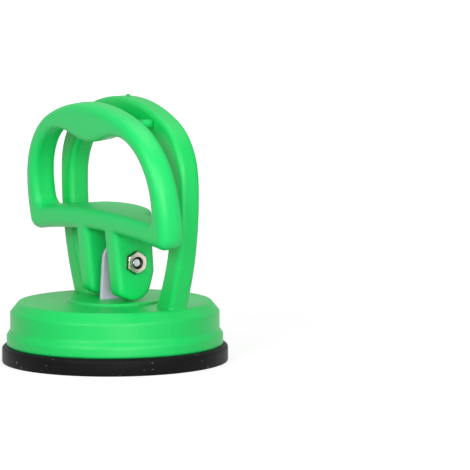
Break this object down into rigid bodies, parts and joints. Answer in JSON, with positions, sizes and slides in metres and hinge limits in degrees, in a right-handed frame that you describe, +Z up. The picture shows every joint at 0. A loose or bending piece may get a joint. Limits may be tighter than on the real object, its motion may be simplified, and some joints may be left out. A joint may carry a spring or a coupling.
{
  "type": "suction lifter",
  "caption": "Small cam-lever suction lifter: a rubber disc under a moulded cup with a fixed arch handle and a hinged finger loop that pulls the disc's centre up.",
  "frame": {"origin": "centre of the rubber disc's sealing face, on the surface the lifter stands on", "axes": "+Z up along the disc's axis; X along the lever's pivot, with the nut at +X; -Y towards the finger loop and +Y towards the fixed arch handle"},
  "size_m": [0.0672, 0.057, 0.0672],
  "materials": {
    "black_rubber": "satin",
    "green_plastic": "satin",
    "galvanised_steel": "dull",
    "bright_zinc": "bright",
    "nickel_steel": "bright"
  },
  "bodies": {
    "root": {"housing": "green_plastic", "suction_disc": "black_rubber"},
    "hub": {"tie_plate": "galvanised_steel", "anchor_plate": "galvanised_steel"},
    "lever": {"lever": "green_plastic", "pivot_screw": "bright_zinc", "pivot_nut": "nickel_steel"}
  },
  "joints": [
    {"name": "hub_lift", "type": "slide", "parent": "root", "child": "hub", "axis": [0, 0, 1], "range_m": [-0.0016, 0], "deforming": ["suction_disc"]},
    {"name": "lever_swing", "type": "hinge", "parent": "hub", "child": "lever", "pos_m": [0, 0.0007, 0.02575], "axis": [1, 0, 0], "range_deg": [0, 80]}
  ],
  "couplings": [
    {"joint": "lever_swing", "follows": "hub_lift", "rad_per_m": -872.6}
  ]
}
